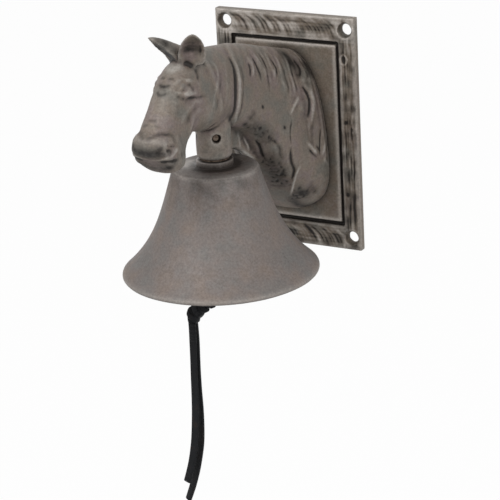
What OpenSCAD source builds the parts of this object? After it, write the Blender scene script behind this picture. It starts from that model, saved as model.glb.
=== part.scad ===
// Wall bell with a horse's head: a framed cast-iron plate, a head and neck that reach out from it,
// and a flared bell that hangs under the throat, with a clapper and a leather pull.
// X runs along the wall, +Y into the wall and +Z up. The origin is the middle of the plate's back face.

/* [Back plate] */
// Width of the back plate
plate_w = 110; // [104:1:140]
// Height of the back plate
plate_h = 170; // [162:1:210]
// Thickness of the plate at its raised border
plate_t = 6.5; // [5.5:0.5:9]
// Width of the raised border at the sides
border_side = 12.5; // [10:0.5:14]
// Width of the raised border at the top and bottom
border_end = 17.5; // [15:0.5:20]
// Width of the groove between border and panel
groove_w = 2.5; // [1.5:0.5:3.5]
// Depth of that groove below the border
groove_depth = 3.5; // [2:0.5:3.5]
// Width of the bevel round the border and the panel
bevel = 1; // [0.5:0.25:1.5]

/* [Wall holes] */
// Diameter of each wall screw hole
wall_hole_d = 8; // [6:0.5:10]
// Diameter of the countersink at the front
wall_sink_d = 12; // [10:0.5:13]
// Depth of the countersink
wall_sink_depth = 3.5; // [2:0.5:4]
// Distance from a side edge to a hole's centre
hole_inset_x = 7.5; // [7:0.5:9]
// Distance from the top or bottom edge to a hole's centre
hole_inset_z = 9; // [8:0.5:12]

/* [Horse] */
// Distance from the wall to the bell's axis
reach = 110; // [92:1:132]
// Width of the neck where it meets the panel
neck_w = 72; // [60:1:78]
// Height of the neck where it meets the panel
neck_h = 118; // [98:1:124]
// Length of each ear
ear_len = 30; // [24:1:34]
// Width of each ear
ear_w = 18; // [15:0.5:20]
// Width of the throat strap's raised band
throat_strap_w = 4.2; // [3:0.2:6]

/* [Hanger] */
// Diameter of the boss under the throat
boss_d = 24; // [20:0.5:29]
// Diameter of the hanger bolt
bolt_d = 6; // [5:0.5:7]
// Diameter of the cross pin that holds the bolt
pin_d = 4; // [3:0.5:4.5]
// Thickness of the web between boss and neck
web_t = 6; // [4:0.5:8]
// Thickness of the washer on the hub
washer_t = 1; // [0.8:0.1:2]
// Outside diameter of the washer on the hub
washer_d = 20; // [16:1:24]

/* [Bell] */
// Outside diameter at the rim
rim_d = 133; // [112:1:160]
// Outside diameter of the flat crown
crown_d = 60; // [52:1:74]
// Height from the crown's top to the rim's outer edge
bell_h = 72.5; // [61:0.5:87]
// Height of the hub on the crown
hub_h = 4.6; // [3:0.2:6]
// Thickness of the wall
bell_wall = 3.6; // [3:0.2:5]
// Growth in radius for each millimetre down the straight part of the side
bell_taper = 0.3; // [0.2:0.02:0.4]
// How late the flare begins, higher is later
flare_power = 3.6; // [2.6:0.2:5]

/* [Clapper] */
// Diameter of the ball
ball_d = 28; // [22:1:30]
// Height of the ball's centre below the crown's top
ball_drop = 67; // [60:1:71]
// Diameter of the clapper rod
rod_d = 4; // [3.4:0.2:5]
// Diameter of the wire in the hanger's eye
eye_wire_d = 3.2; // [2.6:0.2:3.6]
// Diameter of the wire in the connecting link
link_wire_d = 2.4; // [2:0.2:2.8]

/* [Pull] */
// Width of the leather lace
lace_w = 5.6; // [4.6:0.2:7]
// Thickness of the leather lace
lace_t = 2.4; // [1.6:0.2:3.2]

/* [Hidden] */

iron = [0.43, 0.39, 0.36];
dark_iron = [0.33, 0.3, 0.28];
steel = [0.62, 0.62, 0.6];
black_leather = [0.1, 0.1, 0.11];

// Clearances
turn_gap = 0.3;        // between faces that turn past each other
bolt_gap = 0.1;        // round the bolt in the crown, the washer and the boss
screw_gap = 0.15;      // round the head screws

// Back plate, derived
panel_w = plate_w - 2 * (border_side + groove_w);
panel_h = plate_h - 2 * (border_end + groove_w);
panel_t = plate_t - 0.5;
hole_x = plate_w / 2 - hole_inset_x;
hole_z = plate_h / 2 - hole_inset_z;

// Screws that hold the neck to the plate, driven from behind
head_screw_d = 6;
head_screw_head_d = 11.5;
head_screw_head_t = 2.6;
head_screw_len = 22;
head_screw_z = [-0.2 * neck_h, 0.26 * neck_h];
screw_washer_t = 0.8;
screw_washer_d = 14;
head_socket_w = 4.6;   // hexagon socket in each head
head_socket_depth = 1.5;
screw_sink = 0.3;      // how far the heads lie below the plate's back face
screw_pocket = screw_sink + head_screw_head_t + screw_washer_t;

// Neck and head. Each station joins a point under the neck or jaw to one on the crest or face:
// [y and z below, y and z above, half width, height of the widest place (0 to 1), squareness, taper].
// They are drawn for a neck 72 wide and 118 high and a reach of 110, and are scaled from there.
drawn_neck_w = 72;
drawn_neck_h = 118;
drawn_reach = 110;
kx = neck_w / drawn_neck_w;
ky = reach / drawn_reach;
kz = neck_h / drawn_neck_h;
stations = [
  [   0, -57,    0, 60, 35.5, 0.36, 2.5, 0.10],
  [ -10, -55,   -8, 62, 35.5, 0.37, 2.4, 0.12],
  [ -22, -44,  -24, 67, 33.0, 0.40, 2.3, 0.16],
  [ -36, -27,  -44, 73, 28.5, 0.43, 2.2, 0.20],
  [ -50, -10,  -63, 79, 24.5, 0.45, 2.2, 0.22],
  [ -64,   8,  -81, 83, 21.0, 0.47, 2.2, 0.22],
  [ -80,  23,  -97, 86, 18.6, 0.48, 2.2, 0.18],
  [ -97,  30, -112, 88, 17.0, 0.48, 2.2, 0.12],
  [-113,  33, -126, 89, 15.6, 0.48, 2.3, 0.06],
  [-127,  35, -139, 88, 14.8, 0.50, 2.4, 0.02],
  [-136,  38, -150, 84, 14.6, 0.53, 2.5, 0.03],
  [-143,  38, -159, 78, 14.0, 0.55, 2.5, 0.06],
  [-147,  35, -166, 71, 13.2, 0.54, 2.5, 0.06],
  [-151,  32, -172, 64, 12.6, 0.52, 2.5, 0.03],
  [-153,  28, -178, 57, 12.8, 0.50, 2.6, 0.01],
  [-154,  24, -183, 51, 13.2, 0.50, 2.7, 0.01],
  [-157,  20, -187, 46, 13.8, 0.53, 2.8, 0.00],
  [-164,  19, -188, 41, 13.6, 0.58, 2.7, 0.00],
  [-171,  20, -186, 36, 12.0, 0.58, 2.5, 0.00],
  [-176,  23, -182, 31,  7.4, 0.50, 2.2, 0.00]
];
ring_n = 36;           // points round each section
fine_from = 0.5;       // stations between which the sections stand close together, for mane and straps
fine_to = 8.5;
fine_step = 0.125;
plain_step = 0.3;

// Relief on the neck and head, in millimetres outwards
lock_h = 1.5;          // locks of the mane
locks_per_station = 2;
strap_h = 1.2;         // throat strap
strap_groove = 0.5;    // groove in front of it
cheek_strap_h = 0.8;
cheek_strap_u = 8;
pad_h = 1.3;           // pad of the muzzle
crest_h = 1.1;         // bony crest from the eye to the mouth
cheek_h = 2.2;         // round cheek
socket_h = 1.4;        // hollow round the eye
mouth_h = 1.2;
ear_hollow = 0.35;     // depth of an ear's hollow, as a share of its half width
ear_root = 0.5;        // how much further its back stands out at the root
// Station of the throat strap, of the muzzle pad's upper edge and of the mouth, by the angle from the crest
strap_line = [
  [0, 4.9], [22, 5.3], [45, 5.6], [65, 5.85], [80, 6], [98, 6.4], [118, 6.75], [140, 6.9], [180, 7.05]
];
pad_line = [[0, 15.4], [45, 15], [80, 14.2], [95, 14.6]];
mouth_line = [[0, 18.3], [60, 17.5], [95, 15.8], [118, 14.4], [130, 14]];

// Bell, derived. Heights are taken from the crown's top.
crown_z = 5.5;         // the crown's top above the plate's middle
rim_r = rim_d / 2;
crown_r = crown_d / 2;
crown_edge = 1;        // rounding of the crown's edge
step_h = 1.8;          // height of that edge, down to the narrow step under it
step_in = 0.8;         // depth of the step
shoulder_h = 4;        // where the side begins below the step
corner_r = 5;          // rounding inside, between the crown and the side
hub_r = boss_d / 2 + 0.5;
lip_r = bell_wall / 2 + 0.3;
bell_steps = 16;
side_h = bell_h - shoulder_h;
bell_flare = rim_r - crown_r - bell_taper * side_h;
crown_t = bell_wall + 0.6;

// Hanger, derived
boss_bottom = crown_z + hub_h + turn_gap + washer_t;
boss_top = 44;
boss_bevel = 1.6;      // bevel round the boss's lower end
collar_d = 13;
collar_t = 2.8;
collar_top = -crown_t - turn_gap;
eye_r = 5;
eye_wire_r = eye_wire_d / 2;
eye_z = collar_top - collar_t - eye_r + eye_wire_r * 0.4;
link_pivot_z = eye_z - eye_r;
pin_z = 26.5;
pin_turn = 40;         // the pin lies this far round from the bell's front, so a drill clears the jaw
pin_len = boss_d - 7;
pin_recess_d = pin_d + 1.6;
bolt_top = 34;

// Link and clapper, derived
link_wire_r = link_wire_d / 2;
link_r = 3.5;
link_straight = 4.4;
link_top_z = link_pivot_z + eye_wire_r + link_wire_r + turn_gap;
rod_pivot_z = link_top_z - 2 * link_r - link_straight;
rod_eye_r = 4.2;
rod_eye_wire_r = 1.4;
rod_eye_top_z = rod_pivot_z + link_wire_r + rod_eye_wire_r + turn_gap;
rod_eye_z = rod_eye_top_z - rod_eye_r;
pull_eye_r = 5.5;
pull_eye_wire_r = 1.5;
pull_eye_z = -90.5;
pull_eye_bottom_z = pull_eye_z - pull_eye_r;

// Leather pull: routes of the knot and of the two tails, [x, y, z] from the bell's axis and crown
lace_square = 0.7;     // 1 is an oval lace, lower has squarer corners
knot_route = [
  [0, 0, -99.8], [-4, 0, -100.1], [-9, 0, -100.8], [-14, -0.4, -102.8], [-18.5, -0.8, -105.4],
  [-22, -1, -109], [-24, -1, -113], [-24.8, -1, -117]
];
knot_half = [1.8, 3.2, 4.6, 5.6, 6.2, 6, 5.2, 4];
front_tail_route = [
  [-24.6, -2.6, -116.7], [-24.4, -2.8, -124], [-24.6, -3, -133], [-25, -3, -145], [-25.4, -3, -157],
  [-25.8, -3, -170], [-26.4, -3, -183], [-27.4, -3, -196], [-28.6, -3, -208], [-30.4, -3.2, -219],
  [-32.8, -3.4, -229], [-36.4, -3.6, -241]
];
rear_tail_route = [
  [-24.8, 0.6, -116.7], [-24.8, 1, -124], [-25, 1.6, -133], [-25.4, 2, -145], [-25.6, 2, -157],
  [-25.6, 2, -170], [-25.2, 2, -184], [-25.4, 2, -197], [-26.4, 2, -210], [-28.6, 1.8, -222],
  [-31.4, 1.6, -234], [-35, 1.4, -246], [-39.4, 1, -258]
];

// ---- points on the horse ----

function drawn(p) = [p[0] * kx, p[1] * ky, p[2] * kz];
function unit(v) = v / norm(v);
function spow(x, e) = sign(x) * pow(abs(x), e);
function catmull(a, b, c, d, t) =
  0.5 * (2 * b + (c - a) * t + (2 * a - 5 * b + 4 * c - d) * t * t + (3 * b - a - 3 * c + d) * t * t * t);
function between(list, u) =
  let (last = len(list) - 1, i = min(floor(u), last - 1), t = u - i)
  catmull(list[max(i - 1, 0)], list[i], list[i + 1], list[min(i + 2, last)], t);

// Point of section s at angle a round it, 0 at the crest and 90 on the left side of the horse
function on_section(s, a, out = 0) =
  let (
    v = spow(cos(a), 2 / s[6]),
    side = spow(sin(a), 2 / s[6]),
    low = [s[0], s[1]],
    rise = [s[2] - s[0], s[3] - s[1]],
    mid = low + rise * s[5],
    span = v > 0 ? 1 - s[5] : s[5],
    half = s[4] * (1 - s[7] * (v + 1)),
    grow = out / norm(rise)
  )
  drawn([
    (half + out) * side,
    mid[0] + rise[0] * v * (span + grow),
    mid[1] + rise[1] * v * (span + grow)
  ]);
function on_horse(u, a, out = 0) = on_section(between(stations, u), a, out);

// Faces of a skin over rings of n points, closed by a flat cap at each end
function skin_faces(rings, n) = concat(
  [[for (i = [n - 1 : -1 : 0]) i]],
  [for (r = [0 : rings - 2], i = [0 : n - 1]) [r * n + i, r * n + (i + 1) % n, (r + 1) * n + (i + 1) % n]],
  [for (r = [0 : rings - 2], i = [0 : n - 1]) [r * n + i, (r + 1) * n + (i + 1) % n, (r + 1) * n + i]],
  [[for (i = [0 : n - 1]) (rings - 1) * n + i]]
);
module skin(rings) {
  polyhedron(points = [for (r = rings) each r], faces = skin_faces(len(rings), len(rings[0])), convexity = 6);
}

// Smooth step from 0 at lo to 1 at hi, and a band that is 1 from -half to half and 0 past soft beyond it
function ramp(lo, hi, x) = let (t = min(max((x - lo) / (hi - lo), 0), 1)) t * t * (3 - 2 * t);
function band(half, soft, x) = 1 - ramp(half, half + soft, abs(x));
function around(du, dt, u, t) = exp(-pow(du / u, 2) - pow(dt / t, 2));

// Hair that falls from the crest in locks, down to a lower edge that drops towards the wall
function mane(u, t) =
  let (
    lock = (u - 0.35 * (t - 15) / 50) * locks_per_station,
    wave = 1 - abs(2 * (lock - floor(lock)) - 1),
    edge = 56 + 9 * (5 - u) + 5 * sin(360 * lock / 3),
    zone = ramp(3, 14, t) * (1 - ramp(edge - 14, edge, t)) * ramp(0.2, 0.9, u)
  )
  lock_h * zone * (1 - ramp(-0.45, -0.2, u - lookup(t, strap_line))) * pow(wave, 0.7);
function throat_strap(u, t) =
  let (off = u - lookup(t, strap_line))
  (strap_h * band(throat_strap_w / 30, 0.08, off) - strap_groove * band(0.1, 0.12, off - 0.42))
  * (1 - ramp(165, 178, t));
function cheek_strap(u, t) =
  cheek_strap_h * band(0.13, 0.08, u - cheek_strap_u) * ramp(22, 34, t) * (1 - ramp(112, 124, t));
function face_crest(u, t) =
  crest_h * band(3, 7, t - 92 - 10 * (u - 10)) * ramp(9.6, 10.4, u) * (1 - ramp(12.6, 13.6, u));
function cheek(u, t) = cheek_h * around(u - 9.2, t - 108, 1.1, 22);
function eye_socket(u, t) = -socket_h * around(u - 10.7, t - 66, 0.75, 21);
function muzzle_pad(u, t) = pad_h * ramp(-0.35, 0.3, u - lookup(t, pad_line)) * (1 - ramp(88, 104, t));
function mouth(u, t) = -mouth_h * band(0.08, 0.28, u - lookup(t, mouth_line)) * (1 - ramp(122, 134, t));
function relief(u, a) =
  let (t = a > 180 ? 360 - a : a)
  mane(u, t) + throat_strap(u, t) + cheek_strap(u, t) + cheek(u, t) + face_crest(u, t)
  + eye_socket(u, t) + muzzle_pad(u, t) + mouth(u, t);

module horse_body() {
  last = len(stations) - 1;
  us = concat(
    [0 : plain_step : fine_from - 0.01],
    [fine_from : fine_step : fine_to - 0.01],
    [fine_to : plain_step : last]
  );
  skin([for (part = us) for (u = part)
    [for (i = [0 : ring_n - 1]) let (a = 360 * i / ring_n) on_horse(u, a, relief(u, a))]]);
}

// A blunt leaf-shaped ear, hollow on its open side in front and deep towards its root. The left one is
// set lower and lies flatter.
module ear(side) {
  root = drawn(side > 0 ? [7.6, -138, 86] : [-4.4, -133.7, 81]);
  along = unit([side * 11.2, -15.9, side > 0 ? 22 : 20]);
  sideways = unit([0.874, side * 0.485, 0]);
  open = unit(cross(sideways, along));
  across = cross(along, open);
  back = side > 0 ? 0.55 : 0.9;
  function leaf(t) = max((0.98 + 0.08 * t) * pow(1 - pow(t, 2.3), 0.7), 0.05);
  function deep(t, a) =
    cos(a) > 0
      ? ear_root * pow(1 - t, 3) - ear_hollow * ramp(0.05, 0.45, t)
      : back + ear_root * pow(1 - t, 2);
  rings = [for (t = [0 : 0.1 : 1.001])
    let (half = ear_w / 2 * leaf(t), c = root + along * (ear_len * t))
    [for (i = [0 : 15])
      let (a = 360 * i / 16)
      c - across * half * sin(a) + open * half * deep(t, a) * cos(a)]];
  skin(rings);
}

// A ridge that follows points on the horse
module ridge(points, radii) {
  for (i = [0 : len(points) - 2])
    hull() {
      translate(points[i]) sphere(r = radii[i], $fn = 8);
      translate(points[i + 1]) sphere(r = radii[i + 1], $fn = 8);
    }
}

// Loose locks that lie over the neck on both sides, each along points [station, angle, radius]
lock_paths = [
  [
    [1.95, 50, 1.2], [1.65, 56, 1.7], [1.4, 63, 2], [1.27, 72, 2], [1.3, 82, 2], [1.5, 90, 1.9],
    [1.6, 100, 1.2]
  ],
  [[2.2, 62, 1], [2.4, 72, 1.6], [2.65, 84, 1.2]],
  [[0.7, 80, 1.2], [0.65, 90, 1.8], [0.95, 98, 1.2]],
  [[2.4, 122, 1.2], [2.45, 136, 1.8], [2.6, 150, 1.2]]
];
module loose_locks() {
  for (side = [-1, 1], path = lock_paths)
    ridge([for (p = path) on_horse(p[0], side * p[1], -0.6)], [for (p = path) p[2]]);
}

// Eye under its brow, with the lower lid drawn forwards
module eye(side) {
  lid = [[11.6, 50, 0.7], [11.35, 60, 1], [10.85, 72, 1.1], [10, 80, 0.7]];
  brow = [[11.2, 48, 0.8], [10.7, 46, 1.1], [10.1, 50, 1.2], [9.7, 62, 0.8]];
  translate(on_horse(10.6, side * 64, -3.4)) sphere(r = 4.8, $fn = 18);
  for (path = [lid, brow])
    ridge([for (p = path) on_horse(p[0], side * p[1], -0.5)], [for (p = path) p[2]]);
}

// Nostril: a comma-shaped hollow at the side of the pad
module nostril(side) {
  hull() {
    translate(on_horse(15.9, side * 58, 1.6)) sphere(r = 1.7, $fn = 12);
    translate(on_horse(15.5, side * 74, 1.4)) sphere(r = 1.2, $fn = 12);
  }
}

module boss() {
  translate([0, -reach, boss_bottom]) {
    cylinder(d1 = boss_d - 2 * boss_bevel, d2 = boss_d, h = boss_bevel + 0.01, $fn = 48);
    translate([0, 0, boss_bevel]) cylinder(d = boss_d, h = boss_top - boss_bottom - boss_bevel, $fn = 48);
  }
}

// Web that ties the boss back to the neck. Its lower edge passes over the bell's shoulder and runs down
// the front of the neck.
module web() {
  rotate([90, 0, 90]) translate([0, 0, -web_t / 2]) linear_extrude(web_t)
    polygon([
      [-reach + boss_d / 4, boss_bottom + 2],
      [-reach + boss_d * 0.6, boss_bottom + 0.5],
      [-84 * ky, 8.6 * kz],
      [-77 * ky, 4.6 * kz],
      [-70 * ky, 0],
      [-61 * ky, -6 * kz],
      [-53 * ky, -14 * kz],
      [-44 * ky, -12 * kz],
      [-60 * ky, 34 * kz],
      [-reach + boss_d / 4, 36 * kz]
    ]);
}

module hanger_bores() {
  translate([0, -reach, boss_bottom - 1])
    cylinder(d = bolt_d + 2 * bolt_gap, h = bolt_top - boss_bottom + 2, $fn = 48);
  translate([0, -reach, pin_z]) rotate([90, 0, pin_turn]) {
    translate([0, 0, -boss_d]) cylinder(d = pin_d + 0.1, h = 2 * boss_d, $fn = 36);
    translate([0, 0, pin_len / 2]) cylinder(d = pin_recess_d, h = boss_d, $fn = 36);
  }
}

module neck_screw_holes() {
  for (z = head_screw_z)
    translate([0, 1, z]) rotate([90, 0, 0])
      cylinder(d = head_screw_d + 2 * screw_gap, h = head_screw_len + 2.5, $fn = 40);
}

// ---- parts ----

// A block in the wall plane with bevelled front edges, from y = back to y = -front
module bevelled_block(w, h, back, front) {
  hull() {
    translate([-w / 2, -front + bevel, -h / 2]) cube([w, front - bevel + back, h]);
    translate([-w / 2 + bevel, -front, -h / 2 + bevel]) cube([w - 2 * bevel, 1, h - 2 * bevel]);
  }
}

module wall_hole() {
  rotate([90, 0, 0]) {
    translate([0, 0, -1]) cylinder(d = wall_hole_d, h = plate_t + 2, $fn = 48);
    translate([0, 0, plate_t - wall_sink_depth])
      cylinder(d1 = wall_hole_d, d2 = wall_sink_d, h = wall_sink_depth, $fn = 48);
    translate([0, 0, plate_t - 0.01]) cylinder(d = wall_sink_d, h = 1, $fn = 48);
  }
}

module head_screw_hole() {
  rotate([90, 0, 0]) {
    translate([0, 0, -1]) cylinder(d = head_screw_d + 2 * screw_gap, h = plate_t + 2, $fn = 40);
    translate([0, 0, -1])
      cylinder(d = screw_washer_d + 2 * turn_gap, h = screw_pocket + 1, $fn = 48);
  }
}

module back_plate() {
  color(iron)
    difference() {
      union() {
        difference() {
          bevelled_block(plate_w, plate_h, 0, plate_t);
          translate([-panel_w / 2 - groove_w, -plate_t - 1, -panel_h / 2 - groove_w])
            cube([panel_w + 2 * groove_w, groove_depth + 1, panel_h + 2 * groove_w]);
        }
        bevelled_block(panel_w, panel_h, -0.5, panel_t);
      }
      for (x = [-hole_x, hole_x], z = [-hole_z, hole_z])
        translate([x, 0, z]) wall_hole();
      for (z = head_screw_z)
        translate([0, 0, z]) head_screw_hole();
    }
}

module horse_head() {
  color(iron)
    difference() {
      union() {
        translate([0, -panel_t, 0]) difference() {
          union() {
            horse_body();
            loose_locks();
            for (side = [-1, 1]) {
              ear(side);
              eye(side);
            }
          }
          for (side = [-1, 1])
            nostril(side);
          translate([-100, 0, -150]) cube([200, 50, 300]);
        }
        boss();
        web();
      }
      hanger_bores();
      neck_screw_holes();
    }
}

module head_screws() {
  color(steel)
    for (z = head_screw_z)
      translate([0, -screw_sink, z]) rotate([90, 0, 0]) {
        difference() {
          cylinder(d = head_screw_head_d, h = head_screw_head_t, $fn = 48);
          translate([0, 0, -0.1]) cylinder(d = head_socket_w, h = head_socket_depth + 0.1, $fn = 6);
        }
        cylinder(d = head_screw_d, h = head_screw_len, $fn = 40);
      }
}

module screw_washers() {
  color(steel)
    for (z = head_screw_z)
      translate([0, -screw_sink - head_screw_head_t, z]) rotate([90, 0, 0])
        difference() {
          cylinder(d = screw_washer_d, h = screw_washer_t, $fn = 48);
          translate([0, 0, -1]) cylinder(d = head_screw_d + 2 * screw_gap, h = 3, $fn = 40);
        }
}

// A ring of round wire that stands in the XZ plane
module wire_ring(r, wire_r) {
  rotate([90, 0, 0]) rotate_extrude($fn = 48) translate([r, 0]) circle(r = wire_r, $fn = 24);
}

module at_bell_axis() {
  translate([0, -reach, crown_z]) children();
}

// Eyebolt: the collar carries the bell, the eye carries the clapper
module hanger_bolt() {
  color(steel) at_bell_axis() difference() {
    union() {
      translate([0, 0, collar_top - 1]) cylinder(d = bolt_d, h = bolt_top - crown_z - collar_top, $fn = 48);
      translate([0, 0, collar_top - collar_t]) cylinder(d = collar_d, h = collar_t, $fn = 48);
      translate([0, 0, eye_z]) wire_ring(eye_r, eye_wire_r);
    }
    translate([0, 0, pin_z - crown_z]) rotate([90, 0, pin_turn])
      translate([0, 0, -bolt_d]) cylinder(d = pin_d + 0.1, h = 2 * bolt_d, $fn = 36);
  }
}

module hanger_pin() {
  color(steel) at_bell_axis() translate([0, 0, pin_z - crown_z]) rotate([90, 0, pin_turn])
    translate([0, 0, -pin_len / 2]) cylinder(d = pin_d, h = pin_len, $fn = 36);
}

module crown_washer() {
  color(dark_iron) at_bell_axis() translate([0, 0, hub_h + turn_gap]) difference() {
    cylinder(d = washer_d, h = washer_t, $fn = 60);
    translate([0, 0, -1]) cylinder(d = bolt_d + 2 * bolt_gap, h = washer_t + 2, $fn = 48);
  }
}

// Outer radius of the bell h below the crown, its slope, and the two faces of its wall
function down(h) = (h - shoulder_h) / side_h;
function bell_r(h) = crown_r + bell_taper * (h - shoulder_h) + bell_flare * pow(down(h), flare_power);
function bell_slope(h) = bell_taper + bell_flare * flare_power / side_h * pow(down(h), flare_power - 1);
function wall_in(h) = unit([-1, -bell_slope(h)]);
function outer_point(h) = [bell_r(h), -h];
function inner_point(h) = outer_point(h) + bell_wall * wall_in(h);
// Edge of the crown, and the narrow step under it where the side begins
crown_line = concat(
  [for (a = [90 : -30 : 0])
    [crown_r - crown_edge + crown_edge * cos(a), crown_edge * sin(a) - crown_edge]],
  [[crown_r, -step_h], [crown_r - step_in, -step_h - 0.4], [crown_r - step_in, -shoulder_h + 0.8]]
);
// Rounded corner inside the bell, where the side meets the underside of the crown
function inner_corner(a) =
  let (r = inner_point(crown_t + corner_r)[0] - corner_r)
  [r + corner_r * cos(a), corner_r * sin(a) - crown_t - corner_r];
// Lip: a half round across the end of the wall
function lip_point(a) =
  let (n = wall_in(bell_h), t = [-n[1], n[0]])
  outer_point(bell_h) + bell_wall / 2 * n - bell_wall / 2 * cos(a) * n + lip_r * sin(a) * t;

module bell() {
  hs = [for (k = [0 : bell_steps]) shoulder_h + side_h * k / bell_steps];
  color(iron) at_bell_axis() difference() {
    rotate_extrude($fn = 96)
      polygon(concat(
        [[0, hub_h], [hub_r - 1, hub_h], [hub_r, hub_h - 1], [hub_r, 0]],
        crown_line,
        [for (h = hs) outer_point(h)],
        [for (a = [30 : 30 : 150]) lip_point(a)],
        [for (k = [bell_steps : -1 : 1]) if (hs[k] > crown_t + corner_r) inner_point(hs[k])],
        [for (a = [0 : 15 : 90]) inner_corner(a)],
        [[0, -crown_t]]
      ));
    translate([0, 0, -crown_t - 1]) cylinder(d = bolt_d + 2 * bolt_gap, h = crown_t + hub_h + 2, $fn = 48);
  }
}

// Oval link in the YZ plane, between the hanger's eye and the clapper's
module clapper_link() {
  color(steel) at_bell_axis() translate([0, 0, link_top_z - link_r]) rotate([90, 0, 90]) {
    rotate_extrude(angle = 180, $fn = 48) translate([link_r, 0]) circle(r = link_wire_r, $fn = 24);
    translate([0, -link_straight, 0]) rotate([0, 0, 180])
      rotate_extrude(angle = 180, $fn = 48) translate([link_r, 0]) circle(r = link_wire_r, $fn = 24);
    for (x = [-link_r, link_r])
      translate([x, 0, 0]) rotate([90, 0, 0]) cylinder(r = link_wire_r, h = link_straight, $fn = 24);
  }
}

module clapper_rod() {
  rod_top = rod_eye_z - rod_eye_r + 0.6;
  rod_bottom = pull_eye_z + pull_eye_r - 0.6;
  color(steel) at_bell_axis() {
    translate([0, 0, rod_eye_z]) wire_ring(rod_eye_r, rod_eye_wire_r);
    translate([0, 0, rod_bottom]) cylinder(d = rod_d, h = rod_top - rod_bottom, $fn = 36);
    translate([0, 0, pull_eye_z]) wire_ring(pull_eye_r, pull_eye_wire_r);
  }
}

module clapper_ball() {
  color(dark_iron) at_bell_axis() translate([0, 0, -ball_drop]) difference() {
    sphere(d = ball_d, $fn = 64);
    translate([0, 0, -ball_d]) cylinder(d = rod_d, h = 2 * ball_d, $fn = 36);
  }
}

// ---- leather pull ----

// Rings of a flat lace along a route: half widths along the wall, thickness towards it
function lace_rings(route, half_w, half_t, steps) =
  let (last = len(route) - 1, count = last * steps)
  [for (k = [0 : count])
    let (
      u = k / steps,
      c = between(route, u),
      d = unit(between(route, min(u + 0.05, last)) - between(route, max(u - 0.05, 0))),
      across = unit(cross(d, [0, 1, 0])),
      face = cross(across, d)
    )
    [for (i = [0 : 9])
      c + across * between(half_w, u) * spow(cos(36 * i), lace_square)
      + face * between(half_t, u) * spow(sin(36 * i), lace_square)]];
module lace(route, half_w, half_t, steps) {
  at_bell_axis() skin(lace_rings(route, half_w, half_t, steps));
}

module pull_knot() {
  color(black_leather) {
    at_bell_axis() translate([0, 0, pull_eye_bottom_z]) rotate([0, 90, 0])
      rotate_extrude($fn = 36)
        translate([pull_eye_wire_r + turn_gap + lace_t / 2, 0]) circle(d = lace_t, $fn = 16);
    lace(knot_route, knot_half, 0.85 * knot_half, 3);
  }
}

// A tail has the lace's own width and thickness all along
module tail(route) {
  color(black_leather) lace(route, [for (p = route) lace_w / 2], [for (p = route) lace_t / 2], 2);
}

module pull_front_tail() {
  tail(front_tail_route);
}

module pull_rear_tail() {
  tail(rear_tail_route);
}

back_plate();
horse_head();
head_screws();
screw_washers();
hanger_bolt();
hanger_pin();
crown_washer();
bell();
clapper_link();
clapper_rod();
clapper_ball();
pull_knot();
pull_front_tail();
pull_rear_tail();
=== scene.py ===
import math
import random

import bmesh
import bpy
import numpy as np
from mathutils import Matrix, Vector, noise
from mathutils.bvhtree import BVHTree


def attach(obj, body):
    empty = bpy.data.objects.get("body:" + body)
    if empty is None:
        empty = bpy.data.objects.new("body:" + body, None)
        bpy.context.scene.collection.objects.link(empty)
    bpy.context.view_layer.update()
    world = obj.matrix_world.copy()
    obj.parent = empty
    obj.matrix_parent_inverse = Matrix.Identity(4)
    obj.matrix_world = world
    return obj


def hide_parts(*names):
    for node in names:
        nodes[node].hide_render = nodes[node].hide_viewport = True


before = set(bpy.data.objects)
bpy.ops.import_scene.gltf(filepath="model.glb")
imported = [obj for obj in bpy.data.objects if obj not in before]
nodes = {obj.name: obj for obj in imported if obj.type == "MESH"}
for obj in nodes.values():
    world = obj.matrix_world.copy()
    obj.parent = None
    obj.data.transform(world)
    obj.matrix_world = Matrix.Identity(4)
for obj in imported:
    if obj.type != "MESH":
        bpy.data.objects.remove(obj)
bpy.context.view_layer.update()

MM = 0.001
scene = bpy.context.scene

# The bell's axis, and the top of its crown, where the hanger and the pull are measured from
REACH = 110
CROWN_Z = 5.5
CROWN = Vector((0, -REACH, CROWN_Z))
FRONT = Vector((0, 1, 0))


# ---- node helpers ----

def rgb(code):
    """sRGB hex to the linear colour that a socket takes."""
    parts = [int(code[i:i + 2], 16) / 255 for i in (0, 2, 4)]
    return [p / 12.92 if p <= 0.04045 else ((p + 0.055) / 1.055) ** 2.4 for p in parts] + [1]


def add(tree, kind, sockets=(), **settings):
    """Adds a node. sockets pairs an input with its value, or with the output that feeds it."""
    made = tree.nodes.new("ShaderNode" + kind)
    for name, value in settings.items():
        setattr(made, name, value)
    for key, value in dict(sockets).items():
        if isinstance(value, bpy.types.NodeSocket):
            tree.links.new(value, made.inputs[key])
        else:
            made.inputs[key].default_value = value
    return made


def ramp(tree, source, stops):
    """A colour ramp over (position, hex) stops."""
    made = add(tree, "ValToRGB", {0: source})
    cells = made.color_ramp.elements
    while len(cells) < len(stops):
        cells.new(0.5)
    for cell, (place, code) in zip(cells, stops):
        cell.position = place
        cell.color = rgb(code)
    return made.outputs["Color"]


def fit(tree, source, start, end, low, high):
    """Source values from start to end, spread evenly from low to high."""
    return add(tree, "MapRange", {"Value": source, "From Min": start, "From Max": end,
                                  "To Min": low, "To Max": high}).outputs[0]


def scale_of(size):
    """Noise scale whose features are about size millimetres across."""
    return 1000 / size


def cloud(tree, place, size, detail, rough=0.5):
    """Noise with features about size millimetres across."""
    return add(tree, "TexNoise", {"Vector": place, "Scale": scale_of(size), "Detail": detail,
                                  "Roughness": rough}).outputs[0]


def empty_material(name):
    mat = bpy.data.materials.new(name)
    mat.use_nodes = True
    mat.node_tree.nodes.clear()
    return mat, mat.node_tree


def new_material(name):
    mat, tree = empty_material(name)
    surface = add(tree, "BsdfPrincipled")
    add(tree, "OutputMaterial", {"Surface": surface.outputs["BSDF"]})
    return mat, tree, surface


# ---- camera, light and floor ----

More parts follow.
